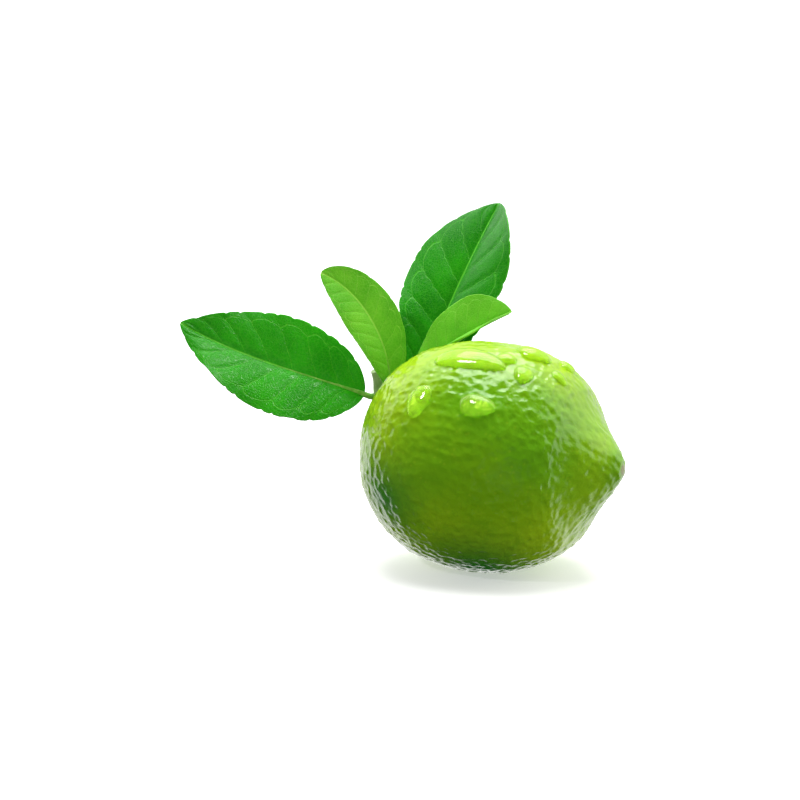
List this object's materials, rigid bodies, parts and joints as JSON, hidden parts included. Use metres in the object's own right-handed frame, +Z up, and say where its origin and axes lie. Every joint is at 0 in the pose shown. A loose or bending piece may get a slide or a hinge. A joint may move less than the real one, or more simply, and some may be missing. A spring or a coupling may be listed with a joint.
{
  "type": "lime",
  "caption": "Whole green lime lying on its side, with a nipple at its blossom end and a short stem that carries a spray of folded leaves.",
  "frame": {"origin": "middle of the small flat spot that the fruit rests on", "axes": "+Z up, out of the surface it rests on; +X level along the fruit's axis, from the stem end towards the nipple; the leaves reach back along -X and up"},
  "size_m": [0.1053, 0.0672, 0.0793],
  "materials": {
    "fruit_skin": "waxy green citrus peel, finely pitted",
    "calyx": "matt, grey-green and woody",
    "stem": "matt pale green bark",
    "old_leaf": "glossy deep green leaf, paler veins",
    "young_leaf": "satin bright green leaf, paler veins"
  },
  "bodies": {
    "root": {"fruit": "fruit_skin", "calyx": "calyx", "stem": "stem", "left_leaf": "old_leaf", "tall_leaf": "old_leaf", "middle_leaf": "young_leaf", "small_leaf": "young_leaf"}
  },
  "joints": []
}
